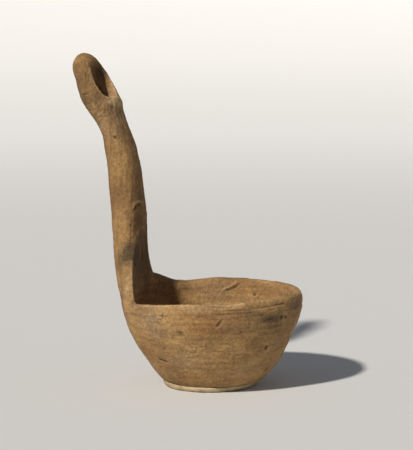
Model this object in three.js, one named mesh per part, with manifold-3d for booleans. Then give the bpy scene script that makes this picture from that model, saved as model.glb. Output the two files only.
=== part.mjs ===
// Clay hand lamp (diya): a round oil bowl on a low foot, with one upright handle that rises out of
// the wall and ends in a pierced eye, so the lamp can be carried by a finger or hung on a peg.
//
// Millimetres, +Z up. The origin is the centre of the foot's resting face, the handle stands on
// the -X side and the open front of the bowl faces +X. The lamp is fired clay throughout: each mesh
// is one member of the clay as the potter joined it, and members meet with a small gap.

import * as THREE from 'three';
import { mergeVertices } from 'three/addons/utils/BufferGeometryUtils.js';
import Module from 'manifold-3d';

const wasm = await Module();
wasm.setup();

// ---- Driving dimensions ------------------------------------------------------------------

const GAP = 0.3;                  // clearance between two members that touch

const FOOT_HEIGHT = 3.4;
const FOOT_TOP_RADIUS = 28;
const FOOT_REST_RADIUS = 25.5;    // flat face that the lamp stands on

const LIP_SEAM = 46;              // height where the bowl wall hands over to the lip
const RIM_HEIGHT = 54.6;          // mean height of the lip's crest
const RIM_FAR_RISE = 0.7;         // the +Y side stands this much above the mean, the -Y side below
const RIM_DIP = 2.6;              // the lip sags beside the handle on the -Y side
const RIM_DIP_ANGLE = 57;         // degrees from the handle to the lowest point of that sag
const RIM_DIP_WIDTH = 22;         // degrees
const WALL_RADIUS = 51.4;         // outside of the wall at the lip
const LIP_THICKNESS = 5.2;

// The wall rises to meet the handle. On the +Y side it is a low fillet.
const FAR_WEB_RISE = 15;
const FAR_WEB_ANGLE = 46;         // degrees from the handle where that rise begins
const FAR_WEB_FULL_ANGLE = 12;    // degrees from the handle where it is complete
const FAR_WEB_CURVE = 2.4;        // above 1 the rise is hollow

// On the -Y side it stands up as a broad shoulder: (degrees from the handle, rise).
const NEAR_WEB = [[12, 20], [20, 19], [28, 16], [34, 13.6], [38.4, 10.9], [43.5, 5.1], [49, 0]];

const ROOT_HALF_WIDTH = 17;       // the handle's own clay; the webs lie outside it
const WEB_END_X = -34;            // plane where the webs end and the lip begins
const ROOT_TOP = 76;
const STEM_TOP = 150;

// Outside of the bowl from the foot upwards, as (radius, height).
const BOWL_OUTSIDE = [[27.5, FOOT_HEIGHT + GAP], [34.9, 11.2], [41.2, 20.4], [45.8, 29.7],
  [49.8, 38.9], [WALL_RADIUS, LIP_SEAM]];

// Inside of the bowl from the lip down to the middle of the floor.
const BOWL_INSIDE = [[WALL_RADIUS - LIP_THICKNESS, LIP_SEAM], [43.4, 36], [37.6, 24], [27.5, 14.4],
  [14, 10.6], [0, 9.9]];

// Handle sections from the wall to the crown: height, back, front and half width. The handle
// leans back over its upper third, and swells at the eye.
const HANDLE_SECTIONS = [
  [44, -50.4, -45.8, 11.0],
  [54, -54.2, -43.8, 16.5],
  [64, -58.0, -44.2, 15.4],
  [76, -60.4, -44.3, 12.4],
  [98, -63.4, -44.5, 9.8],
  [124, -66.0, -47.8, 8.9],
  [142, -69.0, -53.6, 8.8],
  [149, -72.2, -57.2, 9.8],
  [156, -76.6, -60.5, 11.8],
  [162, -81.3, -61.8, 12.6],
  [168, -83.6, -65.4, 12.8],
  [174, -84.9, -69.2, 12.2],
  [180, -88.0, -72.0, 10.4],
  [184.5, -88.7, -74.8, 7.9],
  [187.4, -87.0, -77.6, 4.8],
  [188.6, -84.0, -80.0, 1.5],
];
const FRONT_SQUARENESS = 3.2;     // superellipse exponents: the front is squarer than the back
const BACK_SQUARENESS = 2.6;

// The eye: a funnel pressed into the leaning front face, and a tunnel out through the back.
const EYE_CENTRE = new THREE.Vector3(-68.5, 0, 169.5);
const EYE_LEAN = THREE.MathUtils.degToRad(27);          // front face leans back from upright
const FUNNEL_HALF = new THREE.Vector3(11, 8, 12.5);     // depth, half width, half height
const TUNNEL_RADIUS = 4.6;
const TUNNEL_STRETCH = 1.25;                            // taller than wide
const TUNNEL_FALL = THREE.MathUtils.degToRad(12);       // drops towards the back
const TUNNEL_LENGTH = 60;

const CLAY = { color: 0x9a7a52, roughness: 0.92, metalness: 0 };
const PALE_CLAY = { color: 0xa8946f, roughness: 0.95, metalness: 0 };

// ---- Geometry helpers --------------------------------------------------------------------

// A closed solid through a list of rings, each an equal number of points in the same order,
// with a flat cap on the first and last ring. A closed list joins the last ring to the first.
function solidThroughRings(rings, closed = false) {
  const perRing = rings[0].length;
  const positions = rings.flat().flatMap((point) => point.toArray());
  const index = [];
  const spans = closed ? rings.length : rings.length - 1;
  for (let ring = 0; ring < spans; ring += 1) {
    const here = ring * perRing;
    const next = ((ring + 1) % rings.length) * perRing;
    for (let side = 0; side < perRing; side += 1) {
      const other = (side + 1) % perRing;
      index.push(here + side, here + other, next + other);
      index.push(here + side, next + other, next + side);
    }
  }
  if (!closed) {
    const last = (rings.length - 1) * perRing;
    for (let side = 1; side < perRing - 1; side += 1) {
      index.push(0, side + 1, side);
      index.push(last, last + side, last + side + 1);
    }
  }
  const geometry = new THREE.BufferGeometry();
  geometry.setAttribute('position', new THREE.Float32BufferAttribute(positions, 3));
  geometry.setIndex(index);
  return geometry;
}

function toManifold(geometry) {
  const bare = geometry.clone();
  bare.deleteAttribute('normal');
  bare.deleteAttribute('uv');
  const merged = mergeVertices(bare, 1e-4);
  return new wasm.Manifold(new wasm.Mesh({
    numProp: 3,
    vertProperties: new Float32Array(merged.attributes.position.array),
    triVerts: new Uint32Array(merged.index.array),
  }));
}

function toGeometry(solid) {
  const mesh = solid.getMesh();
  const geometry = new THREE.BufferGeometry();
  geometry.setAttribute('position', new THREE.BufferAttribute(mesh.vertProperties, 3));
  geometry.setIndex(new THREE.BufferAttribute(mesh.triVerts, 1));
  geometry.computeVertexNormals();
  return geometry;
}

// A box from two corners, used to part one member from the next.
function block(low, high) {
  const size = new THREE.Vector3().subVectors(high, low);
  const geometry = new THREE.BoxGeometry(size.x, size.y, size.z);
  geometry.translate(low.x + size.x / 2, low.y + size.y / 2, low.z + size.z / 2);
  return toManifold(geometry);
}

function part(name, geometry, finish) {
  const mesh = new THREE.Mesh(geometry, new THREE.MeshStandardMaterial(finish));
  mesh.name = name;
  return mesh;
}

function splinePoints(points, count) {
  return new THREE.SplineCurve(points.map(([x, y]) => new THREE.Vector2(x, y))).getPoints(count);
}

// LatheGeometry turns about Y, so each lathed piece is stood up on Z.
function lathe(profile, segments) {
  return new THREE.LatheGeometry(profile, segments).rotateX(Math.PI / 2);
}

// ---- Foot and bowl -----------------------------------------------------------------------

function footDisc() {
  const edge = splinePoints(
    [[FOOT_REST_RADIUS, 0], [27.2, 0.9], [FOOT_TOP_RADIUS, 2.3], [27.6, FOOT_HEIGHT]], 6);
  const profile = [new THREE.Vector2(0, 0), ...edge, new THREE.Vector2(0, FOOT_HEIGHT)];
  return lathe(profile, 56);
}

function bowlWall() {
  const base = new THREE.Vector2(0, FOOT_HEIGHT + GAP);
  const outside = splinePoints(BOWL_OUTSIDE, 11);
  const inside = splinePoints(BOWL_INSIDE, 11);
  return lathe([base, ...outside, ...inside], 60);
}

// Value at x on the straight lines through (x, value) points, held at both ends.
function along(points, x) {
  const next = points.findIndex(([place]) => place > x);
  if (next < 0) {
    return points[points.length - 1][1];
  }
  if (next === 0) {
    return points[0][1];
  }
  const [startPlace, startValue] = points[next - 1];
  const [endPlace, endValue] = points[next];
  return THREE.MathUtils.mapLinear(x, startPlace, endPlace, startValue, endValue);
}

function farWebRise(angle) {
  const away = THREE.MathUtils.clamp(
    (angle - FAR_WEB_FULL_ANGLE) / (FAR_WEB_ANGLE - FAR_WEB_FULL_ANGLE), 0, 1);
  return FAR_WEB_RISE * (1 - away) ** FAR_WEB_CURVE;
}

// Height of the wall's crest at an angle in degrees from the handle, positive towards -Y.
function crestHeight(angle) {
  const sag = RIM_DIP * Math.exp(-(((angle - RIM_DIP_ANGLE) / RIM_DIP_WIDTH) ** 2));
  const tilt = -RIM_FAR_RISE * Math.sin(THREE.MathUtils.degToRad(angle));
  const web = angle > 0 ? along(NEAR_WEB, angle) : farWebRise(-angle);
  return RIM_HEIGHT - sag + tilt + web;
}

// The whole crown of the wall, from the seam to the crest, all the way round.
function wallCrown() {
  const steps = 96;
  const arcPoints = 5;
  const half = LIP_THICKNESS / 2;
  const rings = [];
  for (let step = 0; step < steps; step += 1) {
    const angle = (360 * step) / steps - 180;
    const around = THREE.MathUtils.degToRad(180 + angle);
    const place = (radius, height) => new THREE.Vector3(
      radius * Math.cos(around), radius * Math.sin(around), height);
    const arcHeight = crestHeight(angle) - half;
    const section = [
      place(WALL_RADIUS - LIP_THICKNESS, LIP_SEAM + GAP),
      place(WALL_RADIUS, LIP_SEAM + GAP),
    ];
    for (let point = 0; point <= arcPoints; point += 1) {
      const turn = (Math.PI * point) / arcPoints;
      section.push(place(WALL_RADIUS - half + half * Math.cos(turn), arcHeight + half * Math.sin(turn)));
    }
    rings.push(section.reverse());
  }
  return solidThroughRings(rings, true);
}

// ---- Handle ------------------------------------------------------------------------------

// One horizontal section of the handle: a superellipse, squarer at the front.
function handleRing(back, front, halfWidth, height, sides) {
  const middle = (front + back) / 2;
  const halfDepth = (front - back) / 2;
  const ring = [];
  for (let side = 0; side < sides; side += 1) {
    const turn = (2 * Math.PI * side) / sides;
    const power = Math.cos(turn) > 0 ? FRONT_SQUARENESS : BACK_SQUARENESS;
    const reach = (Math.abs(Math.cos(turn)) ** power + Math.abs(Math.sin(turn)) ** power) ** (-1 / power);
    ring.push(new THREE.Vector3(
      middle + halfDepth * reach * Math.cos(turn), halfWidth * reach * Math.sin(turn), height));
  }
  return ring;
}

function handleSolid() {
  const sides = 24;
  const ringsPerSection = 2;
  const faces = new THREE.CatmullRomCurve3(
    HANDLE_SECTIONS.map(([height, back, front]) => new THREE.Vector3(back, front, height)),
    false, 'catmullrom', 0.5);
  const widths = new THREE.CatmullRomCurve3(
    HANDLE_SECTIONS.map(([height, , , half]) => new THREE.Vector3(half, 0, height)),
    false, 'catmullrom', 0.5);
  const count = (HANDLE_SECTIONS.length - 1) * ringsPerSection;
  const rings = [];
  for (let step = 0; step <= count; step += 1) {
    const face = faces.getPoint(step / count);
    const width = widths.getPoint(step / count);
    rings.push(handleRing(face.x, face.y, width.x, face.z, sides));
  }
  return toManifold(solidThroughRings(rings));
}

function eyeCutter() {
  const funnel = new THREE.SphereGeometry(1, 24, 14);
  funnel.scale(FUNNEL_HALF.x, FUNNEL_HALF.y, FUNNEL_HALF.z);
  funnel.rotateY(-EYE_LEAN);
  funnel.translate(EYE_CENTRE.x, EYE_CENTRE.y, EYE_CENTRE.z);
  const tunnel = new THREE.CylinderGeometry(TUNNEL_RADIUS, TUNNEL_RADIUS, TUNNEL_LENGTH, 20);
  tunnel.rotateZ(Math.PI / 2);
  tunnel.scale(1, 1, TUNNEL_STRETCH);
  tunnel.rotateY(-TUNNEL_FALL);
  tunnel.translate(EYE_CENTRE.x, EYE_CENTRE.y, EYE_CENTRE.z);
  return toManifold(funnel).add(toManifold(tunnel));
}

// ---- Parting the upper clay into its members -----------------------------------------------

const FAR = 120;    // past the lamp in every direction
const v = (x, y, z) => new THREE.Vector3(x, y, z);
const crownBottom = LIP_SEAM + GAP;

const upperClay = toManifold(wallCrown()).add(handleSolid());

const members = {
  bowl_lip: upperClay.intersect(block(v(WEB_END_X + GAP, -FAR, crownBottom), v(FAR, FAR, ROOT_TOP))),
  root_web_near: upperClay.intersect(
    block(v(-FAR, -FAR, crownBottom), v(WEB_END_X, -ROOT_HALF_WIDTH - GAP, ROOT_TOP))),
  root_web_far: upperClay.intersect(
    block(v(-FAR, ROOT_HALF_WIDTH + GAP, crownBottom), v(WEB_END_X, FAR, ROOT_TOP))),
  handle_root: upperClay.intersect(
    block(v(-FAR, -ROOT_HALF_WIDTH, crownBottom), v(WEB_END_X, ROOT_HALF_WIDTH, ROOT_TOP))),
  handle_stem: upperClay.intersect(block(v(-FAR, -FAR, ROOT_TOP + GAP), v(FAR, FAR, STEM_TOP))),
  handle_eye: upperClay
    .intersect(block(v(-FAR, -FAR, STEM_TOP + GAP), v(FAR, FAR, 2 * FAR)))
    .subtract(eyeCutter()),
};

// ---- The lamp ------------------------------------------------------------------------------

const lamp = new THREE.Group();
lamp.name = 'hand_lamp';
lamp.add(part('foot_disc', footDisc(), PALE_CLAY));
lamp.add(part('bowl_wall', bowlWall(), CLAY));
for (const [name, solid] of Object.entries(members)) {
  lamp.add(part(name, toGeometry(solid), CLAY));
}

export default lamp;
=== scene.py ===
"""Looks for the clay diya lamp: the fired clay as one sculpted surface, parted into its members.

The lamp's clay is described as a distance field: a function that is negative inside the clay, zero
on its surface and positive outside. The field is meshed once, so that the surface runs on from
member to member without a seam, as it does on the fired lamp, and the mesh is then cut into the
pieces that stand for the CAD nodes. Lengths in the field are millimetres, angles are degrees
round +Z from +X, and the handle stands at 180.
"""
import math

import bpy
import numpy as np
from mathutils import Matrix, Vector


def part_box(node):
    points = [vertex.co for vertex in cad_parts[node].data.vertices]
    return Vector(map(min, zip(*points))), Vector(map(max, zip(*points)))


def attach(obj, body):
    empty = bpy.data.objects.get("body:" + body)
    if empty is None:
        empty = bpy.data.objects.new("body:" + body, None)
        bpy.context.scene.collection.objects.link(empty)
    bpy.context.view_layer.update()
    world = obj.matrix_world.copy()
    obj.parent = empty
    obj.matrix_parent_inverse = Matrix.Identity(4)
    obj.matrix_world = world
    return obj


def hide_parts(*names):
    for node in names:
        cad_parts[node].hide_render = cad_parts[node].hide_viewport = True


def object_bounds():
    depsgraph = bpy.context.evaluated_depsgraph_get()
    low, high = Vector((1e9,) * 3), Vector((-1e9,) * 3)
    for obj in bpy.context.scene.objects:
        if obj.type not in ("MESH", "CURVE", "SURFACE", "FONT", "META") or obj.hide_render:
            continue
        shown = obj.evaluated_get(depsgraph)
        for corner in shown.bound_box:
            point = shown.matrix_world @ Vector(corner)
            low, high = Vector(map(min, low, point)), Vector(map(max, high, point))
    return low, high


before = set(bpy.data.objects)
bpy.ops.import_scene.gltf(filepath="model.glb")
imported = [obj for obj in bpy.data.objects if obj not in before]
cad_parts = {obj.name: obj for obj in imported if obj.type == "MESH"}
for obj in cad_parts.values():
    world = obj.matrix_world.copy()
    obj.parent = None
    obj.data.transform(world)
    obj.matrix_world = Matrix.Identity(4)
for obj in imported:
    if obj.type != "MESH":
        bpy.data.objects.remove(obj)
cad_box = [list(corner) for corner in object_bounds()]

MM = 0.001
CELL = 0.6        # size of the mesh's cells
BLOCK = 4                                # cells along one side of a block


# ---- Places taken from the frame -----------------------------------------------------------

def low(node):
    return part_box(node)[0] / MM


def high(node):
    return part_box(node)[1] / MM


FOOT_TOP = high("foot_disc").z
FOOT_RADIUS = high("foot_disc").x
BOWL_BASE = low("bowl_wall").z
LIP_SEAM = (high("bowl_wall").z + low("bowl_lip").z) / 2
WEB_SEAM = (high("root_web_near").x + low("bowl_lip").x) / 2
ROOT_SIDE = (high("handle_root").y + low("root_web_far").y) / 2
ROOT_SEAM = (high("handle_root").z + low("handle_stem").z) / 2
EYE_SEAM = (high("handle_stem").z + low("handle_eye").z) / 2
CROWN = high("handle_eye").z

# ---- The shape of the clay -----------------------------------------------------------------

# Outside radius of the bowl by height.
BOWL_OUTSIDE = [(3.4, 27.8), (6.5, 31.2), (11.2, 35.2), (20.4, 41.5), (29.7, 46.2), (38.9, 49.9),
                (44, 51.3), (49, 52.0), (54.5, 51.7), (80, 51.9)]

# How much further out the bowl stands on the side that faces BULGE_ANGLE, by height.
BULGE = [(3.4, 0.2), (10, 0.5), (17, 0.8), (24, 0.35), (33, -0.1), (38.5, 0.1), (44, 0.1), (55, 0)]
BULGE_ANGLE = 26

# The hollow is half of a rounded, squarish ellipsoid.
HOLLOW_TOP = 54
HOLLOW_FLOOR = 9.9
HOLLOW_RADIUS = 46.3
HOLLOW_SQUARENESS = 2.4

# Height of the lip by angle. The webs beside the handle rise above it.
LIP_HEIGHT = [(0, 54.8), (20, 55.1), (45, 56.0), (65, 56.4), (80, 56.0), (96, 55.4), (110, 55.5),
              (128, 54.2), (142, 53.9), (160, 54.0), (180, 53.4), (200, 52.0), (220, 50.7),
              (238, 50.5), (250, 51.6), (266, 53.0), (285, 54.1), (308, 54.3), (330, 55.3),
              (345, 55.2), (360, 54.8)]

# How far the web on each side stands above the lip, by angle from the handle.
NEAR_WEB = [(0, 36), (8, 29.5), (13, 25), (20, 21), (28, 18.2), (34, 16), (38.4, 13), (43.5, 6.8),
            (46.5, 3.2), (49, 0.8), (51.5, 0)]
FAR_WEB = [(0, 24), (9, 20), (12, 12.8), (15, 8.6), (18, 7.0), (22, 6.2), (26, 5), (32, 2.9), (38, 1.1),
           (46, 0)]

# Handle sections by height: back, front and half width.
HANDLE_SECTIONS = [
    (44, -50.4, -45.8, 11.0), (54, -54.9, -44.2, 14.2), (64, -58.3, -45.1, 13.4),
    (72, -60.1, -45.5, 12.4), (84, -61.3, -45.5, 11.0), (98, -63.1, -45.6, 10.0),
    (112, -64.6, -47.0, 9.5), (124, -66.1, -48.6, 9.0), (134, -67.9, -50.9, 8.8),
    (142, -69.4, -53.6, 9.0), (149, -72.8, -56.9, 10.3), (156, -77.0, -59.9, 12.7),
    (162, -81.0, -61.3, 13.5), (168, -83.6, -64.5, 13.7), (174, -85.5, -68.1, 13.1),
    (180, -88.3, -71.0, 12.6), (190, -90.0, -75.2, 11.6),
]
FRONT_SQUARENESS = 3.6
BACK_SQUARENESS = 2.5
FRONT_TURN = 0.09                # slope of the front face, which stands further back on the near side
HEAD_SQUARENESS = 2.2
CROWN_BASE = 175                 # the head is domed from here up
CROWN_PAST = 1.2                 # how far the dome stands past the CAD's crown

HANDLE_BASE = 45.5               # the handle's clay ends here, inside the wall

# How softly the handle runs into the wall, in its middle, and how much more on each side.
ROOT_BLEND = 3
NEAR_BLEND = 5
FAR_BLEND = 1.2

CREST_RADIUS = 49                # middle of the wall's thickness at the lip

# Rounding of the lip. On the near side it is sharper inside and softer outside.
LIP_OUTER_ROUND = 2.2
LIP_OUTER_VARIES = 1.6           # rounder by this much at LIP_SOFT_ANGLE
LIP_SOFT_ANGLE = 20
LIP_ROLLED_OUTER = 7
LIP_INNER_ROUND = 4.6
LIP_ROLLED_INNER = 3.2
BASE_ROUND = 0.8

# The eye: an egg-shaped scoop in the leaning front face, and a tunnel out through the back.
SCOOP_CENTRE = (-70.5, -0.8, 173)
EYE_LEAN = 27
SCOOP_DEPTH = 6.6
SCOOP_HALF_WIDTH = 8.6
SCOOP_HALF_HEIGHT = 12.7
SCOOP_EGG = 0.12                 # wider above the middle and pointed below it
SCOOP_TILT = 0.08                # how far the scoop's top leans to the far side
TUNNEL_CENTRE = (-69.3, 169.5)   # x and z
TUNNEL_RADIUS = 4.6
TUNNEL_STRETCH = 1.2             # the tunnel is taller than wide
TUNNEL_FALL = 12
EYE_EDGE = 1.4                   # rounding of the eye's edge
EYE_EDGE_TOP = 2.2               # how much more it is at the top

# Swellings: centre, reach and height. They are on the near web, beside the handle's foot and below
# the eye.
SWELLINGS = [
    ((-41.5, -20, 67), (8, 9, 9), 1.7),
    ((-48, -14, 76), (6, 5, 8), 1.8),
    ((-61.5, -1, 161.6), (3.5, 8, 2.6), 1.1),
]

# Pits on the bowl: angle, height, reach and depth. The hollow has its own.
OUTSIDE_PITS = [(345.4, 44.5, 1.0, 1.5), (349.8, 44.0, 0.8, 0.9), (338.8, 27.2, 1.2, 1.6),
                (355.8, 11.5, 1.3, 1.0), (275.5, 37.0, 1.6, 0.8), (260.3, 26.9, 0.8, 0.6),
                (315.0, 38.0, 0.7, 0.5), (264.0, 46.4, 0.8, 0.6), (267.5, 43.2, 0.8, 0.6)]
HOLLOW_PITS = [(82.5, 46.5, 0.9, 1.2), (46.1, 53.4, 0.8, 0.9)]

# Grooves in the bowl: a path of (angle, height), the width and the depth. Ridges have a minus.
OUTSIDE_GROOVES = [
    ([(299.5, 42.2), (301.8, 45.0)], 0.7, 0.9),
    ([(331.5, 43.8), (337.6, 44.2)], 0.6, 0.4),
    ([(297, 53.0), (306, 52.9), (311, 53.4), (314.5, 54.2)], 0.6, 0.9),
    ([(303, 50.4), (318, 50.7), (333, 51.3), (348, 51.9)], 0.6, 0.35),
    ([(299, 48.4), (318, 49.0), (338, 49.7)], 0.6, 0.35),
    ([(309, 46.3), (330, 47.0)], 0.6, 0.3),
    ([(270, 47.6), (290, 47.0)], 0.6, 0.25),
    ([(250.3, 19.4), (255.8, 18.5)], 0.9, 1.0),
]
HOLLOW_GROOVES = [
    ([(106.5, 48.7), (100.6, 50.9), (97.0, 53.4), (99.5, 55.2)], 0.8, -0.6),
    ([(104.0, 48.2), (98.6, 49.9), (94.7, 52.2)], 0.8, 0.5),
]

# Marks on the handle: a path of (x, y, z), the width and the depth.
HANDLE_GROOVES = [
    ([(-46.2, -7.4, 100.6), (-45.8, -5.4, 103.3), (-45.4, -0.7, 104.1), (-45.2, 2.5, 103.1)], 0.8, -0.5),
    ([(-45.9, -5.9, 100.2), (-45.4, -3.6, 102.0), (-45.2, -0.6, 102.4)], 0.8, 0.5),
    ([(-46.8, -9.3, 91.1), (-45.3, -11.8, 84.4), (-45.1, -14.1, 78.9)], 0.6, 0.7),
    ([(-75.8, -13.7, 166.0), (-72.7, -13.8, 166.8)], 0.6, 0.45),
    ([(-75.2, -11.8, 178.6), (-74.5, -12.9, 174.4)], 0.6, 0.4),
    ([(-72.8, -12.6, 178.0), (-72.3, -13.2, 174.0)], 0.6, 0.4),
    ([(-44.0, -14.2, 68.6), (-42.7, -16.0, 61.8)], 0.8, -0.9),
    ([(-58.4, -9.1, 141.4), (-57.6, -9.1, 141.4)], 0.9, 0.8),
    ([(-69.2, -14.0, 159.6), (-67.8, -13.8, 158.4)], 1.1, -0.6),
    ([(-61.4, -5.2, 158.8), (-61.0, -4.6, 158.2)], 0.8, 0.3),
]

# Patches where the skin of the clay is broken up: centre, reach and roughness.
ROUGH_PATCHES = [((-5.8, -51, 44.8), (5, 3, 4), 0.45), ((9.8, -43, 26), (4, 4, 6), 0.3),
                 ((-3, -36, 12), (6, 5, 3), 0.25), ((-66, -12, 156), (5, 4, 5), 0.3),
                 ((-44, -10, 70), (6, 6, 6), 0.2)]


def curve(points):
    """A smooth curve through (position, value) points, as a function of position."""
    position, value = np.array(points, float).T
    slope = np.gradient(value, position)

    def at(x):
        i = np.clip(np.searchsorted(position, x) - 1, 0, len(position) - 2)
        span = position[i + 1] - position[i]
        t = np.clip((x - position[i]) / span, 0, 1)
        rise = value[i + 1] - value[i]
        return (value[i] + rise * t * t * (3 - 2 * t)
                + span * t * (1 - t) * ((1 - t) * slope[i] - t * slope[i + 1]))

    return at


outside_radius = curve(BOWL_OUTSIDE)
bulge = curve(BULGE)
lip_height = curve(LIP_HEIGHT)
near_web = curve(NEAR_WEB)
far_web = curve(FAR_WEB)
handle_back = curve([(s[0], s[1]) for s in HANDLE_SECTIONS])
handle_front = curve([(s[0], s[2]) for s in HANDLE_SECTIONS])
handle_half_width = curve([(s[0], s[3]) for s in HANDLE_SECTIONS])


def smooth_max(a, b, width):
    overlap = np.clip(width - np.abs(a - b), 0, None)
    return np.maximum(a, b) + overlap * overlap / (4 * width)


def smooth_min(a, b, width):
    return -smooth_max(-a, -b, width)


def smooth_step(x, start, end):
    t = np.clip((x - start) / (end - start), 0, 1)
    return t * t * (3 - 2 * t)


def cos_deg(angle):
    return np.cos(np.radians(angle))


def sin_deg(angle):
    return np.sin(np.radians(angle))


def angle_between(a, b):
    """Signed angle from b to a, from -180 to 180."""
    return (a - b + 180) % 360 - 180


def crest_height(angle):
    """Height of the top of the wall, webs included."""
    from_handle = angle_between(angle, 180)
    web = np.where(from_handle > 0, near_web(from_handle), far_web(-from_handle))
    return lip_height(angle % 360) + web


def bowl_radius(z, angle):
    return outside_radius(z) + bulge(z) * cos_deg(angle - BULGE_ANGLE)


def hollow_field(r, z):
    """Negative inside the hollow. Above its top the hollow carries straight on up."""
    across = r / HOLLOW_RADIUS
    depth = HOLLOW_TOP - HOLLOW_FLOOR
    down = np.clip((HOLLOW_TOP - z) / depth, 0, None)
    power = HOLLOW_SQUARENESS
    reach = (across ** power + down ** power) ** (1 / power) + 1e-9
    slope_across = (across / reach) ** (power - 1) / HOLLOW_RADIUS
    slope_down = (down / reach) ** (power - 1) / depth
    return (reach - 1) / np.hypot(slope_across, slope_down)


def bowl_field(x, y, z):
    r = np.hypot(x, y)
    angle = np.degrees(np.arctan2(y, x)) % 360
    flare = outside_radius(z + 0.5) - outside_radius(z - 0.5)
    outside = (r - bowl_radius(z, angle)) / np.sqrt(1 + flare * flare)
    rise = crest_height(angle + 0.6) - crest_height(angle - 0.6)
    climb = rise / (1.2 * math.radians(1) * CREST_RADIUS)
    crest = (z - crest_height(angle)) / np.sqrt(1 + climb * climb)
    rolled = smooth_step(angle, 178, 186) - smooth_step(angle, 220, 250)
    outer_round = LIP_OUTER_ROUND + LIP_OUTER_VARIES * cos_deg(angle - LIP_SOFT_ANGLE)
    outer_round = outer_round + LIP_ROLLED_OUTER * rolled
    inner_round = LIP_INNER_ROUND - LIP_ROLLED_INNER * rolled
    shell = smooth_max(smooth_max(outside, crest, outer_round), -hollow_field(r, z), inner_round)
    return smooth_max(shell, BOWL_BASE - 0.2 - z, BASE_ROUND)


def handle_field(x, y, z):
    back, half_width = handle_back(z), handle_half_width(z)
    turned = smooth_step(z, 48, 66) - smooth_step(z, 130, 150)
    front = handle_front(z) + FRONT_TURN * y * turned
    half_depth = (front - back) / 2
    offset = (x - (front + back) / 2) / half_depth
    squareness = BACK_SQUARENESS + (FRONT_SQUARENESS - BACK_SQUARENESS) * smooth_step(offset, -0.5, 0.5)
    squareness += (HEAD_SQUARENESS - squareness) * smooth_step(z, 120, 158)
    side = np.abs(y) / half_width
    deep = np.abs(offset)
    up = np.clip((z - CROWN_BASE) / (CROWN + CROWN_PAST - CROWN_BASE), 0, None)
    reach = (deep ** squareness + side ** squareness + up ** squareness) ** (1 / squareness) + 1e-9
    slope_x = (deep / reach) ** (squareness - 1) / half_depth
    slope_y = (side / reach) ** (squareness - 1) / half_width
    slope_z = (up / reach) ** (squareness - 1) / (CROWN - CROWN_BASE)
    front_lean = handle_front(z + 0.5) - handle_front(z - 0.5)
    back_lean = handle_back(z + 0.5) - handle_back(z - 0.5)
    lean = (front_lean + back_lean) / 2
    body = (reach - 1) / np.sqrt(slope_x ** 2 * (1 + lean * lean) + slope_y ** 2 + slope_z ** 2)
    return smooth_max(body, HANDLE_BASE - z, 2)


def eye_field(x, y, z):
    """Negative inside the scoop and the tunnel."""
    east, north, up = x - SCOOP_CENTRE[0], y - SCOOP_CENTRE[1], z - SCOOP_CENTRE[2]
    out = east * cos_deg(EYE_LEAN) + up * sin_deg(EYE_LEAN)
    along = up * cos_deg(EYE_LEAN) - east * sin_deg(EYE_LEAN)
    width = SCOOP_HALF_WIDTH * (1 + SCOOP_EGG * np.clip(along / SCOOP_HALF_HEIGHT, -1.2, 1.2))
    a, b, c = out / SCOOP_DEPTH, along / SCOOP_HALF_HEIGHT, (north - SCOOP_TILT * along) / width
    reach = np.sqrt(a * a + b * b + c * c) + 1e-9
    slope = np.sqrt((a / SCOOP_DEPTH) ** 2 + (b / SCOOP_HALF_HEIGHT) ** 2 + (c / width) ** 2) / reach
    scoop = (reach - 1) / (slope + 1e-9)
    east, up = x - TUNNEL_CENTRE[0], z - TUNNEL_CENTRE[1]
    rise = up * cos_deg(TUNNEL_FALL) - east * sin_deg(TUNNEL_FALL)
    tunnel = np.hypot(rise / TUNNEL_STRETCH, y) - TUNNEL_RADIUS
    return smooth_min(scoop, tunnel, 2.5)


# ---- The potter's touch: lumps, wiping lines, pits and scars ---------------------------------

def noise_table(seed, size=64):
    return np.random.RandomState(seed).uniform(-1, 1, (size, size, size)).astype(np.float32)


NOISE_TABLES = [noise_table(seed) for seed in range(3)]


def noise(x, y, z, wavelength, seed=0):
    """Smooth noise from -1 to 1. wavelength is one length, or one for each axis."""
    table = NOISE_TABLES[seed % len(NOISE_TABLES)]
    size = len(table)
    steps = np.broadcast_to(wavelength, 3)
    whole, part = [], []
    for axis, (value, step) in enumerate(zip((x, y, z), steps)):
        scaled = value / step + 17.3 * seed + 5.1 * axis
        floor = np.floor(scaled)
        t = scaled - floor
        whole.append(floor.astype(np.int32) % size)
        part.append(t * t * t * (t * (6 * t - 15) + 10))
    total = 0
    for corner in range(8):
        index, weight = [], 1
        for axis in range(3):
            bit = corner >> axis & 1
            index.append((whole[axis] + bit) % size)
            weight = weight * (part[axis] if bit else 1 - part[axis])
        total = total + table[index[0], index[1], index[2]] * weight
    return total


def handle_share(x, z):
    """0 on the bowl and 1 on the handle, for what runs round the one and along the other."""
    return smooth_step(z, 54, 66) * smooth_step(-x, 30, 40)


# Depths of the hand-worked surface.
WIDE_LUMPS = 0.32
SMALL_LUMPS = 0.18
COARSE_GRAIN = 0.08
FINE_GRAIN = 0.07
ROUND_LINES = 0.09               # wheel and wiping lines that run round the bowl
RIM_LINES = 0.12                 # how much deeper they are in the band below the lip
LONG_LINES = 0.14                # wiping lines that run along the handle


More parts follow.
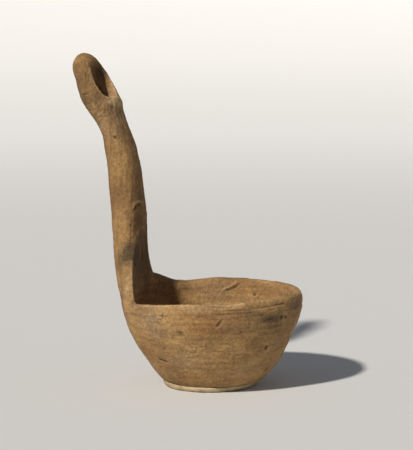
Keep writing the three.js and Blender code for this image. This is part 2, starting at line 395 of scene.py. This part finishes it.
def touch(x, y, z):
    """How far the hand-worked surface stands below (positive) the plain shape."""
    on_handle = handle_share(x, z)
    lumps = WIDE_LUMPS * noise(x, y, z, 19, 1) + SMALL_LUMPS * noise(x, y, z, 8, 2)
    grain = COARSE_GRAIN * noise(x, y, z, 2.6, 3) + FINE_GRAIN * noise(x, y, z, 1.5, 4)
    patchy = 0.5 + 0.5 * noise(x, y, z, 24, 5)
    round_lines = noise(x, y, z, (34, 34, 2.3), 6) + 0.6 * noise(x, y, z, (26, 26, 1.3), 7)
    long_lines = noise(x, y, z, (2.3, 2.3, 30), 8) + 0.5 * noise(x, y, z, (1.4, 1.4, 18), 9)
    rim_band = smooth_step(z, 40, 45) * smooth_step(x, -5, 25)
    round_lines = round_lines * (ROUND_LINES * (0.4 + patchy) + RIM_LINES * rim_band)
    lines = round_lines * (1 - on_handle) + long_lines * on_handle * LONG_LINES
    return lumps + grain + lines


def dent(x, y, z, centre, reach, depth):
    """A soft press of the given depth that fades over the reach along each axis."""
    reaches = np.broadcast_to(reach, 3)
    away = sum(((value - c) / r) ** 2 for value, c, r in zip((x, y, z), centre, reaches))
    return depth * np.exp(-away)


def groove(x, y, z, path, width, depth):
    """A groove along a path, or a ridge where the depth is less than zero."""
    nearest = np.full(len(x), 1e9)
    for start, end in zip(path[:-1], path[1:]):
        run = np.subtract(end, start)
        from_start = (x - start[0], y - start[1], z - start[2])
        share = np.clip(sum(f * r for f, r in zip(from_start, run)) / (run @ run), 0, 1)
        away = sum((f - share * r) ** 2 for f, r in zip(from_start, run))
        nearest = np.minimum(nearest, away)
    return depth * np.exp(-nearest / width ** 2)


def outside_place(angle, z):
    r = float(bowl_radius(z, angle))
    return (r * cos_deg(angle), r * sin_deg(angle), z)


def hollow_place(angle, z):
    depth = HOLLOW_TOP - HOLLOW_FLOOR
    down = max(0, (HOLLOW_TOP - z) / depth)
    r = HOLLOW_RADIUS * (1 - down ** HOLLOW_SQUARENESS) ** (1 / HOLLOW_SQUARENESS)
    return (r * cos_deg(angle), r * sin_deg(angle), z)


def marks(x, y, z):
    """Depth of the pits, scars and scratches. It is less than zero on ridges."""
    depth = 0
    for place, pits in ((outside_place, OUTSIDE_PITS), (hollow_place, HOLLOW_PITS)):
        for angle, height, reach, deep in pits:
            depth = depth + dent(x, y, z, place(angle, height), reach, deep)
    for place, grooves in ((outside_place, OUTSIDE_GROOVES), (hollow_place, HOLLOW_GROOVES)):
        for path, width, deep in grooves:
            depth = depth + groove(x, y, z, [place(*step) for step in path], width, deep)
    for path, width, deep in HANDLE_MARKS:
        depth = depth + groove(x, y, z, path, width, deep)
    return depth


def broken_skin(x, y, z):
    rough = 0
    for centre, reach, depth in ROUGH_PATCHES:
        rough = rough + dent(x, y, z, centre, reach, depth)
    return rough * noise(x, y, z, (1.5, 1.5, 1.1), 12)


def worked_clay(points):
    """The clay with the potter's touch, before it is marked."""
    x, y, z = points.T
    blend = ROOT_BLEND + NEAR_BLEND * smooth_step(-y, 0, 15) + FAR_BLEND * smooth_step(y, 0, 12)
    clay = smooth_min(bowl_field(x, y, z), handle_field(x, y, z), blend)
    eye_edge = EYE_EDGE + EYE_EDGE_TOP * smooth_step(z, 174, 184)
    clay = smooth_max(clay, -eye_field(x, y, z), eye_edge)
    for swelling in SWELLINGS:
        clay = clay - dent(x, y, z, *swelling)
    return clay + touch(x, y, z)


def clay_field(points):
    x, y, z = points.T
    return worked_clay(points) + marks(x, y, z) + broken_skin(x, y, z)


def gradient(field, points, step=0.08):
    """Slope of the field at each point, from the four corners of a small tetrahedron."""
    corners = np.array([(1, -1, -1), (-1, -1, 1), (-1, 1, -1), (1, 1, 1)], float)
    values = [field(points + corner * step) for corner in corners]
    slope = sum(value[:, None] * corner for value, corner in zip(values, corners)) / (4 * step)
    return slope, sum(values) / 4


def unit(vectors):
    return vectors / (np.linalg.norm(vectors, axis=1, keepdims=True) + 1e-12)


def settle(field, points, rounds=3):
    """Moves points onto the surface where the field is zero."""
    for _ in range(rounds):
        slope, value = gradient(field, points)
        size = np.maximum((slope * slope).sum(1), 0.2)
        shift = slope * (value / size)[:, None]
        length = np.linalg.norm(shift, axis=1, keepdims=True)
        points = points - shift * np.minimum(1, 0.5 * CELL / (length + 1e-9))
    return points


# The handle's marks, moved onto its surface.
HANDLE_MARKS = [(settle(worked_clay, np.array(path), 8), width, deep)
                for path, width, deep in HANDLE_GROOVES]


# ---- Where the clay is stained and worn, and where shade and light are painted on it ------------

# Smoke and handling stains, and painted shade where shade falls on the lamp: centre, reach and strength.
STAINS_AND_PAINTED_SHADE = [
    ((46, -23, 45), (12, 10, 4.5), 0.6),
    ((48, -16, 40), (7, 7, 6), 0.5),
    ((52, 0, 49), (7, 9, 4), 0.6),
    # Painted shade under the head.
    ((-77, -12, 164), (5, 5, 3), 0.3),
    ((-76, -12, 167), (8, 6, 12), 0.3),
    # A smudge beside the handle's foot, made strong enough to paint the shade there as well.
    ((-45, -14.5, 74.5), (5, 6, 6.5), 2.4),
    ((-47, -17, 71), (8, 8, 8), 0.4),
    ((-41, -30, 58), (8, 8, 9), 0.15),
    # Painted shade on the neck under the head.
    ((-71, -12, 161), (7, 5, 6), 0.3),
    # Painted shade: the handle's shadow in the bowl, and the handle's front, which faces away from the
    # light.
    ((-38, 0, 54), (14, 28, 14), 0.75),
    ((-44, 0, 70), (5, 14, 14), 0.8),
    ((-43, 2, 98), (5, 9, 34), 0.5),
    ((-45, -6, 90), (4, 4.5, 14), 0.5),
    ((-46, 4, 132), (6, 9, 16), 0.15),
    # Painted shade in the eye, a painted shadow on its upper far wall and painted shade round its top.
    ((-72, 0, 172), (6, 7, 8), 0.1),
    ((-74.2, 7, 179.5), (5, 4.5, 5), 1.6),
    ((-73, -5, 183), (5, 5, 5), 0.3),
    ((44.5, -25, 42), (9, 9, 9), 0.4),
    ((30, -42, 28), (9, 7, 12), 0.15),
    ((-79, -10, 168), (9, 7, 14), 0.35),
    ((-12, -50, 46), (12, 6, 8), 0.12),
    ((16, -48, 43), (14, 8, 9), 0.24),
]

# Where the darker skin is rubbed off on the lip, and painted light where the light falls brightly: centre,
# reach and strength.
RUBBED_AND_PAINTED_LIGHT = [
    # Painted light on the eye's sill, the lit far wall of the eye and the near web's crest.
    ((-63, 2, 163), (6, 8, 5), 0.8),
    ((-66, 8, 169), (5, 3, 7), 0.6),
    ((-37, -31, 58), (4, 6, 8), 0.5),
    ((10, -51, 52), (30, 8, 2.5), 0.4),
    ((35, 33, 50), (16, 16, 7), 0.3),
    # Painted light on the chin below the eye, the neck below it and the eye's far wall.
    ((-61, -4, 160), (5, 7, 4), 0.8),
    ((-63, -9, 148), (5, 6, 6), 0.5),
    ((-57, 0, 150), (5, 6, 6), 0.3),
    ((-66, 7, 167), (5, 4, 6), 0.6),
    # Painted bounce light from the floor on the bowl's lower right.
    ((33, -23, 15), (9, 9, 7), 0.4),
]

# Where the fire turned the clay redder, and where a greyish bloom lies on it.
RUDDY = [
    ((16, -48, 41), (14, 8, 9), 0.8), ((-22, -38, 22), (9, 9, 12), 0.8), ((4, -37, 12), (14, 8, 6), 0.5),
    ((-80, -6, 178), (7, 8, 9), 0.5), ((-60, -8, 120), (8, 8, 12), 0.15), ((20, 40, 48), (30, 14, 8), 0.3),
    ((-46, -8, 96), (5, 8, 12), 0.4),
]
BLOOM = [
    ((-14, -48, 42), (9, 6, 9), 0.9), ((0, -40, 20), (8, 6, 8), 0.4), ((-66, -8, 153), (5, 6, 7), 0.4),
    ((10, -42, 20), (10, 6, 7), 0.35), ((-20, 44, 46), (14, 10, 8), 0.5), ((-60, -6, 84), (7, 9, 12), 0.3),
]


# Darkness of the soot and handling stains together with the painted shade.
def soot_and_painted_shade(x, y, z):
    banding = 0.5 * (1 - handle_share(x, z))
    streaks = 0.8 + banding * noise(x, y, z, (24, 24, 1.8), 13) + 0.25 * noise(x, y, z, 6, 14)
    return sum(dent(x, y, z, *patch) for patch in STAINS_AND_PAINTED_SHADE) * streaks


def blotches(x, y, z, patches, seed):
    """How far some patches tint the surface, from 0 to about 1, with ragged edges."""
    return sum(dent(x, y, z, *patch) for patch in patches) * (0.8 + 0.5 * noise(x, y, z, 5, seed))


def roundness(points, step=1.2):
    """How sharply the surface bends: above zero on edges and below zero in hollows."""
    total = -6 * clay_field(points)
    for axis in np.eye(3):
        total = total + clay_field(points + axis * step) + clay_field(points - axis * step)
    return total / step ** 2


# ---- Meshing the field -----------------------------------------------------------------------

def sample_field(field, start, blocks):
    """The field at every node of a grid, worked out only in the blocks near the surface."""
    span = BLOCK * CELL
    centres = [start[a] + span * (np.arange(blocks[a]) + 0.5) for a in range(3)]
    mesh = np.stack(np.meshgrid(*centres, indexing="ij"), -1).reshape(-1, 3)
    coarse = field(mesh).reshape(blocks)
    near = np.argwhere(np.abs(coarse) < span * 1.5 + 1)
    values = np.empty((blocks[0], BLOCK, blocks[1], BLOCK, blocks[2], BLOCK), np.float32)
    values[:] = coarse[:, None, :, None, :, None]
    steps = (np.arange(BLOCK)) * CELL
    inner = np.stack(np.meshgrid(steps, steps, steps, indexing="ij"), -1).reshape(1, -1, 3)
    for chunk in np.array_split(near, max(1, len(near) // 4000)):
        corner = np.array(start) + chunk * span
        fine = field((corner[:, None] + inner).reshape(-1, 3)).reshape(-1, BLOCK, BLOCK, BLOCK)
        values[chunk[:, 0], :, chunk[:, 1], :, chunk[:, 2], :] = fine
    return values.reshape([n * BLOCK for n in blocks])


def surface_mesh(field, low_corner, high_corner):
    """Points and four-sided faces of the surface where the field is zero."""
    blocks = [int(math.ceil((high_corner[a] - low_corner[a]) / (BLOCK * CELL))) for a in range(3)]
    values = sample_field(field, low_corner, blocks)
    inside = values < 0
    cells = np.zeros([n - 1 for n in inside.shape], np.uint8)
    corners = [(i, j, k) for i in (0, 1) for j in (0, 1) for k in (0, 1)]

    def shifted(array, offset):
        return array[tuple(slice(o, array.shape[a] - 1 + o) for a, o in enumerate(offset))]

    for corner in corners:
        cells += shifted(inside, corner)
    active = np.argwhere((cells > 0) & (cells < 8))
    number = np.full(cells.shape, -1, np.int32)
    number[tuple(active.T)] = np.arange(len(active))

    total, count = np.zeros((len(active), 3)), np.zeros(len(active))
    for axis in range(3):
        for first in (c for c in corners if c[axis] == 0):
            second = tuple(c + (a == axis) for a, c in enumerate(first))
            a = values[tuple((active + first).T)]
            b = values[tuple((active + second).T)]
            cross = (a < 0) != (b < 0)
            part = np.where(cross, a / np.where(cross, a - b, 1), 0)
            place = np.array(first, float) + part[:, None] * (np.arange(3) == axis)
            total += place * cross[:, None]
            count += cross
    points = np.array(low_corner) + (active + total / count[:, None]) * CELL

    faces = []
    for axis in range(3):
        u, v = (axis + 1) % 3, (axis + 2) % 3
        step = np.eye(3, dtype=int)
        here = [slice(1, -1)] * 3
        here[axis] = slice(0, -1)
        ahead = list(here)
        ahead[axis] = slice(1, None)
        change = inside[tuple(here)].astype(np.int8) - inside[tuple(ahead)].astype(np.int8)
        for sign in (1, -1):
            nodes = np.argwhere(change == sign) + 1
            nodes[:, axis] -= 1
            ring = [nodes - step[u] - step[v], nodes - step[v], nodes, nodes - step[u]]
            quads = np.stack([number[tuple(corner.T)] for corner in ring], 1)
            faces.append(quads if sign > 0 else quads[:, ::-1])
    return points, np.concatenate(faces)


def relax(points, faces, field, rounds=2):
    """Evens out the mesh, keeping it on the surface."""
    for _ in range(rounds):
        total, count = np.zeros_like(points), np.zeros(len(points))
        for corner in range(4):
            for other in ((corner + 1) % 4, (corner - 1) % 4):
                np.add.at(total, faces[:, corner], points[faces[:, other]])
                np.add.at(count, faces[:, corner], 1)
        points = settle(field, 0.5 * points + 0.5 * total / count[:, None], 1)
    return settle(field, points)


def new_mesh(name, points, faces):
    """A mesh from points in millimetres."""
    mesh = bpy.data.meshes.new(name)
    mesh.vertices.add(len(points))
    mesh.vertices.foreach_set("co", (points * MM).astype(np.float32).ravel())
    sides = faces.shape[1]
    mesh.loops.add(faces.size)
    mesh.loops.foreach_set("vertex_index", faces.astype(np.int32).ravel())
    mesh.polygons.add(len(faces))
    mesh.polygons.foreach_set("loop_start", np.arange(0, faces.size, sides, dtype=np.int32))
    mesh.update(calc_edges=True)
    return mesh


def new_object(name, mesh):
    made = bpy.data.objects.new(name, mesh)
    bpy.context.scene.collection.objects.link(made)
    return made


# ---- Parting the clay into its members ---------------------------------------------------------

FAR = 150                        # past the lamp in every direction
MEMBERS = {
    "bowl_wall": ((-FAR, -FAR, -FAR), (FAR, FAR, LIP_SEAM)),
    "bowl_lip": ((WEB_SEAM, -FAR, LIP_SEAM), (FAR, FAR, ROOT_SEAM)),
    "root_web_near": ((-FAR, -FAR, LIP_SEAM), (WEB_SEAM, -ROOT_SIDE, ROOT_SEAM)),
    "root_web_far": ((-FAR, ROOT_SIDE, LIP_SEAM), (WEB_SEAM, FAR, ROOT_SEAM)),
    "handle_root": ((-FAR, -ROOT_SIDE, LIP_SEAM), (WEB_SEAM, ROOT_SIDE, ROOT_SEAM)),
    "handle_stem": ((-FAR, -FAR, ROOT_SEAM), (FAR, FAR, EYE_SEAM)),
    "handle_eye": ((-FAR, -FAR, EYE_SEAM), (FAR, FAR, 2 * FAR)),
}


def box_mesh(name, low_corner, high_corner):
    ends = (low_corner, high_corner)
    points = np.array([(ends[i][0], ends[j][1], ends[k][2])
                       for i in (0, 1) for j in (0, 1) for k in (0, 1)], float)
    faces = np.array([(0, 1, 3, 2), (4, 6, 7, 5), (0, 4, 5, 1), (2, 3, 7, 6), (0, 2, 6, 4), (1, 5, 7, 3)])
    return new_mesh(name, points, faces)


def cut_member(whole, name, low_corner, high_corner):
    """The part of the whole clay that lies in a box, as a mesh of its own."""
    cutter = new_object("cutter", box_mesh("cutter", low_corner, high_corner))
    cut = whole.modifiers.new("part", "BOOLEAN")
    cut.operation = "INTERSECT"
    cut.solver = "MANIFOLD"
    cut.object = cutter
    bpy.context.view_layer.update()
    result = whole.evaluated_get(bpy.context.evaluated_depsgraph_get())
    mesh = bpy.data.meshes.new_from_object(result)
    mesh.name = name
    whole.modifiers.remove(cut)
    bpy.data.objects.remove(cutter)
    return mesh


def read_points(mesh):
    points = np.empty(len(mesh.vertices) * 3, np.float32)
    mesh.vertices.foreach_get("co", points)
    return points.reshape(-1, 3).astype(float) / MM


FLAT_BELOW = 0.4                 # a face that agrees less than this with the field is a cut face


def shade_by_field(mesh, field):
    """Normals from the field, so that shading runs on across a cut. Cut faces stay flat."""
    slope, _ = gradient(field, read_points(mesh))
    point_normals = unit(slope)
    flat = np.empty(len(mesh.polygons) * 3, np.float32)
    mesh.polygons.foreach_get("normal", flat)
    sizes = np.empty(len(mesh.polygons), np.int32)
    mesh.polygons.foreach_get("loop_total", sizes)
    corners = np.empty(len(mesh.loops), np.int32)
    mesh.loops.foreach_get("vertex_index", corners)
    flat = np.repeat(flat.reshape(-1, 3), sizes, axis=0)
    smooth = point_normals[corners]
    agree = (flat * smooth).sum(1)
    face_of = np.repeat(np.arange(len(sizes)), sizes)
    worst = np.ones(len(sizes))
    np.minimum.at(worst, face_of, agree)
    use_flat = worst[face_of] < FLAT_BELOW
    normals = np.where(use_flat[:, None], flat, smooth)
    mesh.polygons.foreach_set("use_smooth", np.ones(len(mesh.polygons), bool))
    mesh.normals_split_custom_set(normals.tolist())


# ---- Foot ---------------------------------------------------------------------------------------

FOOT_WORN_ANGLE = 345            # the side where the foot's lower edge is worn away
FOOT_EDGE_ROUND = 2.6
FOOT_WORN_ROUND = 3.0            # how much rounder it is on the worn side
FOOT_TOP_ROUND = 1.0
FOOT_INSET = 0.35                # mean distance of the uneven edge inside the CAD's
FOOT_UNEVEN = 0.25
FOOT_GRAIN = 0.06


def foot_field(points):
    x, y, z = points.T
    r = np.hypot(x, y)
    angle = np.degrees(np.arctan2(y, x))
    edge = r - FOOT_RADIUS + FOOT_INSET - FOOT_UNEVEN * noise(x, y, z, (9, 9, 40), 10)
    top = z - FOOT_TOP
    lower_round = FOOT_EDGE_ROUND + FOOT_WORN_ROUND * smooth_step(cos_deg(angle - FOOT_WORN_ANGLE), 0.3, 1)
    disc = smooth_max(smooth_max(edge, -z, lower_round), top, FOOT_TOP_ROUND)
    return disc + FOOT_GRAIN * noise(x, y, z, 2.2, 11) * smooth_step(z, 0.3, 1.2)


# ---- Materials ------------------------------------------------------------------------------------

class Nodes:
    """Short calls for building a material's node tree."""

    def __init__(self, name):
        self.material = bpy.data.materials.new(name)
        self.material.use_nodes = True
        self.tree = self.material.node_tree
        self.tree.nodes.clear()
        self.output = self.tree.nodes.new("ShaderNodeOutputMaterial")
        self.shader = self.tree.nodes.new("ShaderNodeBsdfPrincipled")
        self.tree.links.new(self.shader.outputs[0], self.output.inputs["Surface"])
        self.place = self.add("ShaderNodeTexCoord").outputs["Object"]

    def add(self, kind, inputs=None, **settings):
        node = self.tree.nodes.new(kind)
        for key, value in settings.items():
            setattr(node, key, value)
        for key, value in (inputs or {}).items():
            self.put(node.inputs[key], value)
        return node

    def put(self, socket, value):
        if isinstance(value, bpy.types.NodeSocket):
            self.tree.links.new(value, socket)
        else:
            socket.default_value = value

    def stretched(self, factors):
        inputs = {0: self.place, 1: factors}
        return self.add("ShaderNodeVectorMath", inputs, operation="MULTIPLY").outputs[0]

    def noise(self, wavelength, detail, roughness, vector=None):
        return self.add("ShaderNodeTexNoise", {
            "Vector": vector or self.place, "Scale": 1 / (wavelength * MM),
            "Detail": detail, "Roughness": roughness}).outputs["Fac"]

    def ramp(self, value, start, end, low=0.0, high=1.0):
        return self.add("ShaderNodeMapRange", {
            "Value": value, "From Min": start, "From Max": end, "To Min": low, "To Max": high},
            interpolation_type="SMOOTHSTEP").outputs["Result"]

    def math(self, operation, a, b):
        return self.add("ShaderNodeMath", {0: a, 1: b}, operation=operation).outputs[0]

    def mix(self, share, first, second, blend="MIX"):
        node = self.add("ShaderNodeMix", data_type="RGBA", blend_type=blend)
        self.put(node.inputs[0], share)
        self.put(node.inputs[6], first)
        self.put(node.inputs[7], second)
        return node.outputs[2]

    def attribute(self, name):
        return self.add("ShaderNodeAttribute", attribute_name=name).outputs["Fac"]

    def masked(self, name, pattern, low, high):
        """A mesh attribute, broken up by a pattern."""
        return self.math("MULTIPLY", self.attribute(name), self.ramp(pattern, 0.3, 0.6, low, high))

    def bump(self, height, distance, normal=None):
        inputs = {"Height": height, "Distance": distance * MM, "Strength": 1.0}
        if normal is not None:
            inputs["Normal"] = normal
        return self.add("ShaderNodeBump", inputs).outputs["Normal"]


def srgb(red, green, blue):
    """Linear colour from 0 to 255 display values."""
    def linear(value):
        value /= 255
        return value / 12.92 if value <= 0.04045 else ((value + 0.055) / 1.055) ** 2.4
    return (linear(red), linear(green), linear(blue), 1.0)


OCHRE = srgb(166, 131, 84)
BROWN = srgb(134, 102, 66)
GREY_BROWN = srgb(116, 92, 62)
RED_BROWN = srgb(142, 101, 60)
ASH = srgb(160, 138, 110)
PALE = srgb(188, 158, 118)
DARK = srgb(62, 48, 34)
# Dark brown of soot, which also paints the shade.
SOOT_AND_SHADE_BROWN = srgb(70, 55, 38)
HANDLE_TINT = (0.76, 0.74, 0.72, 1)
FOOT_DULL = srgb(150, 130, 98)
FOOT_PALE = srgb(184, 166, 134)
STREAK_STRETCH = 0.12            # streaks are this much slower along their length


def clay_material():
    n = Nodes("fired_clay")
    streak_round = n.noise(2.4, 4, 0.65, n.stretched((STREAK_STRETCH, STREAK_STRETCH, 1.0)))
    streak_long = n.noise(2.4, 4, 0.65, n.stretched((1.0, 1.0, STREAK_STRETCH)))
    on_handle = n.attribute("on_handle")
    streaks = n.add("ShaderNodeMix", {0: on_handle, 2: streak_round, 3: streak_long}).outputs[0]
    patches = n.noise(4.5, 4, 0.65)
    grain = n.noise(1.4, 3, 0.65)
    colour = n.mix(n.ramp(n.noise(26, 4, 0.6), 0.38, 0.62), BROWN, OCHRE)
    colour = n.mix(n.ramp(n.noise(11, 4, 0.65), 0.5, 0.72, 0, 0.5), colour, RED_BROWN)
    colour = n.mix(n.ramp(patches, 0.42, 0.68, 0, 0.4), colour, GREY_BROWN)
    colour = n.mix(n.ramp(streaks, 0.48, 0.66, 0, 0.35), colour, GREY_BROWN)
    colour = n.mix(n.masked("ruddy", patches, 0.45, 0.85), colour, RED_BROWN)
    colour = n.mix(n.masked("bloom", grain, 0.3, 0.7), colour, ASH)
    colour = n.mix(on_handle, colour, n.mix(1.0, colour, HANDLE_TINT, "MULTIPLY"))
    # Soot and handling stains, and painted shade: in the bowl below the handle, on the handle's front,
    # under the head and in the eye.
    colour = n.mix(n.math("MULTIPLY", n.attribute("soot_and_painted_shade"), 0.88), colour, SOOT_AND_SHADE_BROWN)
    # Pale rubbed lip and edges, and painted light on the eye's sill and far wall, the chin, the near web's
    # crest and the bowl's lower right.
    colour = n.mix(n.masked("edge", patches, 0.3, 0.8), colour, PALE)
    speckle = n.ramp(grain, 0.3, 0.7, 0.78, 1.2)
    brushed = n.math("MULTIPLY", speckle, n.ramp(streaks, 0.3, 0.7, 1.1, 0.9))
    shade = n.add("ShaderNodeCombineColor", {i: brushed for i in range(3)})
    colour = n.mix(1.0, colour, shade.outputs[0], "MULTIPLY")
    colour = n.mix(n.ramp(n.noise(1.0, 2, 0.6), 0.63, 0.74, 0, 0.5), colour, DARK)
    pale_specks = n.noise(0.8, 2, 0.6, n.stretched((1.3, 1.3, 1.0)))
    colour = n.mix(n.ramp(pale_specks, 0.64, 0.74, 0, 0.4), colour, PALE)
    # Painted shade in pits, grooves and concave places.
    colour = n.mix(n.math("MULTIPLY", n.attribute("painted_recess_shade"), 0.92), colour, DARK)
    n.put(n.shader.inputs["Base Color"], colour)
    n.shader.inputs["Roughness"].default_value = 0.88
    n.shader.inputs["Specular IOR Level"].default_value = 0.3
    normal = n.bump(n.noise(0.8, 4, 0.7), 0.2)
    normal = n.bump(n.noise(2.2, 3, 0.6), 0.38, normal)
    normal = n.bump(streaks, 0.3, normal)
    n.put(n.shader.inputs["Normal"], normal)
    return n.material


def foot_material():
    n = Nodes("foot_clay")
    colour = n.mix(n.ramp(n.noise(9, 4, 0.6), 0.4, 0.62), FOOT_DULL, FOOT_PALE)
    colour = n.mix(n.ramp(n.noise(1.1, 3, 0.7), 0.6, 0.75, 0, 0.4), colour, BROWN)
    n.put(n.shader.inputs["Base Color"], colour)
    n.shader.inputs["Roughness"].default_value = 0.95
    n.shader.inputs["Specular IOR Level"].default_value = 0.2
    n.put(n.shader.inputs["Normal"], n.bump(n.noise(0.9, 4, 0.7), 0.15))
    return n.material


# ---- Pieces ------------------------------------------------------------------------------------------

def store(mesh, name, values):
    mesh.attributes.new(name, "FLOAT", "POINT").data.foreach_set("value", values.astype(np.float32))


def finish_piece(node, mesh, material):
    mesh.materials.clear()
    mesh.materials.append(material)
    piece = new_object(f"{node}_clay", mesh)
    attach(piece, "root")
    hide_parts(node)


def store_masks(mesh):
    """Stores on each point its stain and painted shade, its wear and painted light, how far it is reddened
    and bloomed, and the painted shade in its pits, grooves and hollows.
    """
    points = read_points(mesh)
    x, y, z = points.T
    bend = roundness(points)
    # Stains together with the painted shade that the same patches carry.
    soot_and_shade = np.clip(soot_and_painted_shade(x, y, z), 0, 1)
    # Rubbed lip and edges, and painted light on the eye's sill and far wall, the chin, the near web's
    # crest and the bowl's lower right.
    worn_and_lit = blotches(x, y, z, RUBBED_AND_PAINTED_LIGHT, 15) + smooth_step(bend, 0.25, 0.9) * 0.6 * (1 - soot_and_shade)
    # Painted shade in pits, grooves and concave places.
    painted_recess_shade = marks(x, y, z) * 1.2 - 0.18 + smooth_step(-bend, 0.3, 1.2) * 0.5
    store(mesh, "on_handle", handle_share(x, z))
    store(mesh, "soot_and_painted_shade", soot_and_shade)
    store(mesh, "edge", np.clip(worn_and_lit, 0, 1))
    store(mesh, "ruddy", np.clip(blotches(x, y, z, RUDDY, 16), 0, 1))
    store(mesh, "bloom", np.clip(blotches(x, y, z, BLOOM, 17), 0, 1))
    store(mesh, "painted_recess_shade", np.clip(painted_recess_shade, 0, 1))


MARGIN = 2.5                     # space around the CAD's box in which the field is meshed


def make_clay():
    low_corner = [cad_box[0][a] / MM - MARGIN for a in range(3)]
    high_corner = [cad_box[1][a] / MM + MARGIN for a in range(3)]
    points, faces = surface_mesh(clay_field, low_corner, high_corner)
    points = relax(points, faces, clay_field)
    whole = new_object("whole_clay", new_mesh("whole_clay", points, faces))
    material = clay_material()
    for node, (low_end, high_end) in MEMBERS.items():
        mesh = cut_member(whole, node, low_end, high_end)
        shade_by_field(mesh, clay_field)
        store_masks(mesh)
        finish_piece(node, mesh, material)
    bpy.data.objects.remove(whole)


def make_foot():
    reach = FOOT_RADIUS + 2
    points, faces = surface_mesh(foot_field, (-reach, -reach, -1.5), (reach, reach, FOOT_TOP + 1.5))
    points = relax(points, faces, foot_field)
    points[:, 2] = np.clip(points[:, 2], 0, FOOT_TOP)
    mesh = new_mesh("foot", points, faces)
    mesh.polygons.foreach_set("use_smooth", np.ones(len(mesh.polygons), bool))
    finish_piece("foot_disc", mesh, foot_material())


# ---- Camera, light and floor --------------------------------------------------------------------------

CAMERA_AZIMUTH = 26
CAMERA_PITCH = 6.25
CAMERA_DISTANCE = 1100
CAMERA_LENS = 153.85
SENSOR_WIDTH = 36
CAMERA_TARGET = (-2.6, -1.3, 92.4)


def make_camera():
    data = bpy.data.cameras.new("camera")
    data.lens = CAMERA_LENS
    data.sensor_width = SENSOR_WIDTH
    camera = bpy.data.objects.new("camera", data)
    bpy.context.scene.collection.objects.link(camera)
    back = Vector((sin_deg(CAMERA_AZIMUTH) * cos_deg(CAMERA_PITCH),
                   -cos_deg(CAMERA_AZIMUTH) * cos_deg(CAMERA_PITCH), sin_deg(CAMERA_PITCH)))
    camera.location = (Vector(CAMERA_TARGET) + back * CAMERA_DISTANCE) * MM
    camera.rotation_mode = "QUATERNION"
    camera.rotation_quaternion = (-back).to_track_quat("-Z", "Y")
    bpy.context.scene.camera = camera


KEY_AZIMUTH = 259
KEY_ELEVATION = 38
KEY_STRENGTH = 3.9
KEY_SPREAD = 3.5
KEY_COLOUR = (1.0, 0.95, 0.86)
SKY_COLOUR = (0.88, 0.96, 1.1, 1)
SKY_STRENGTH = 0.16


def make_key():
    """The sun: a distant light, placed by its angle in the plan and above the horizon."""
    data = bpy.data.lights.new("key", "SUN")
    data.energy = KEY_STRENGTH
    data.angle = math.radians(KEY_SPREAD)
    data.color = KEY_COLOUR
    sun = bpy.data.objects.new("key", data)
    bpy.context.scene.collection.objects.link(sun)
    level = cos_deg(KEY_ELEVATION)
    towards = Vector((cos_deg(KEY_AZIMUTH) * level, sin_deg(KEY_AZIMUTH) * level,
                      sin_deg(KEY_ELEVATION)))
    sun.rotation_mode = "QUATERNION"
    sun.rotation_quaternion = towards.to_track_quat("Z", "Y")


# Rings of the floor round its middle: radius and height.
FLOOR_RINGS = [(3000, 0), (4200, 90), (5000, 380), (5600, 900), (5900, 1500)]
FLOOR_SIDES = 96
FLOOR_NEAR = srgb(212, 212, 212)
FLOOR_FAR = srgb(232, 232, 232)
FLOOR_FADE = (0.6, 2.5)          # metres from the middle between which it turns from near to far


def make_floor():
    """A flat floor that sweeps up far behind the lamp on every side."""
    turn = 2 * math.pi * np.arange(FLOOR_SIDES) / FLOOR_SIDES
    rings = [np.stack([r * np.cos(turn), r * np.sin(turn), np.full(FLOOR_SIDES, z)], 1)
             for r, z in FLOOR_RINGS]
    points = np.concatenate([[(0, 0, 0)]] + rings)
    ring = np.arange(FLOOR_SIDES)
    after = (ring + 1) % FLOOR_SIDES
    faces = [np.stack([np.zeros_like(ring), 1 + ring, 1 + after], 1)]
    for level in range(len(rings) - 1):
        inner, outer = 1 + level * FLOOR_SIDES, 1 + (level + 1) * FLOOR_SIDES
        faces.append(np.stack([inner + ring, outer + ring, outer + after], 1))
        faces.append(np.stack([inner + ring, outer + after, inner + after], 1))
    floor = new_object("floor", new_mesh("floor", points, np.concatenate(faces)))
    floor.data.polygons.foreach_set("use_smooth", np.ones(len(floor.data.polygons), bool))
    n = Nodes("pale_floor")
    away = n.add("ShaderNodeVectorMath", {0: n.place}, operation="LENGTH").outputs["Value"]
    n.put(n.shader.inputs["Base Color"], n.mix(n.ramp(away, *FLOOR_FADE), FLOOR_NEAR, FLOOR_FAR))
    n.shader.inputs["Roughness"].default_value = 0.9
    n.shader.inputs["Specular IOR Level"].default_value = 0.1
    floor.data.materials.append(n.material)


def make_world():
    world = bpy.data.worlds.new("studio")
    world.use_nodes = True
    background = world.node_tree.nodes["Background"]
    background.inputs["Color"].default_value = SKY_COLOUR
    background.inputs["Strength"].default_value = SKY_STRENGTH
    bpy.context.scene.world = world


make_camera()
make_world()
make_floor()
make_key()
bpy.context.scene.view_settings.view_transform = "Standard"
make_foot()
make_clay()
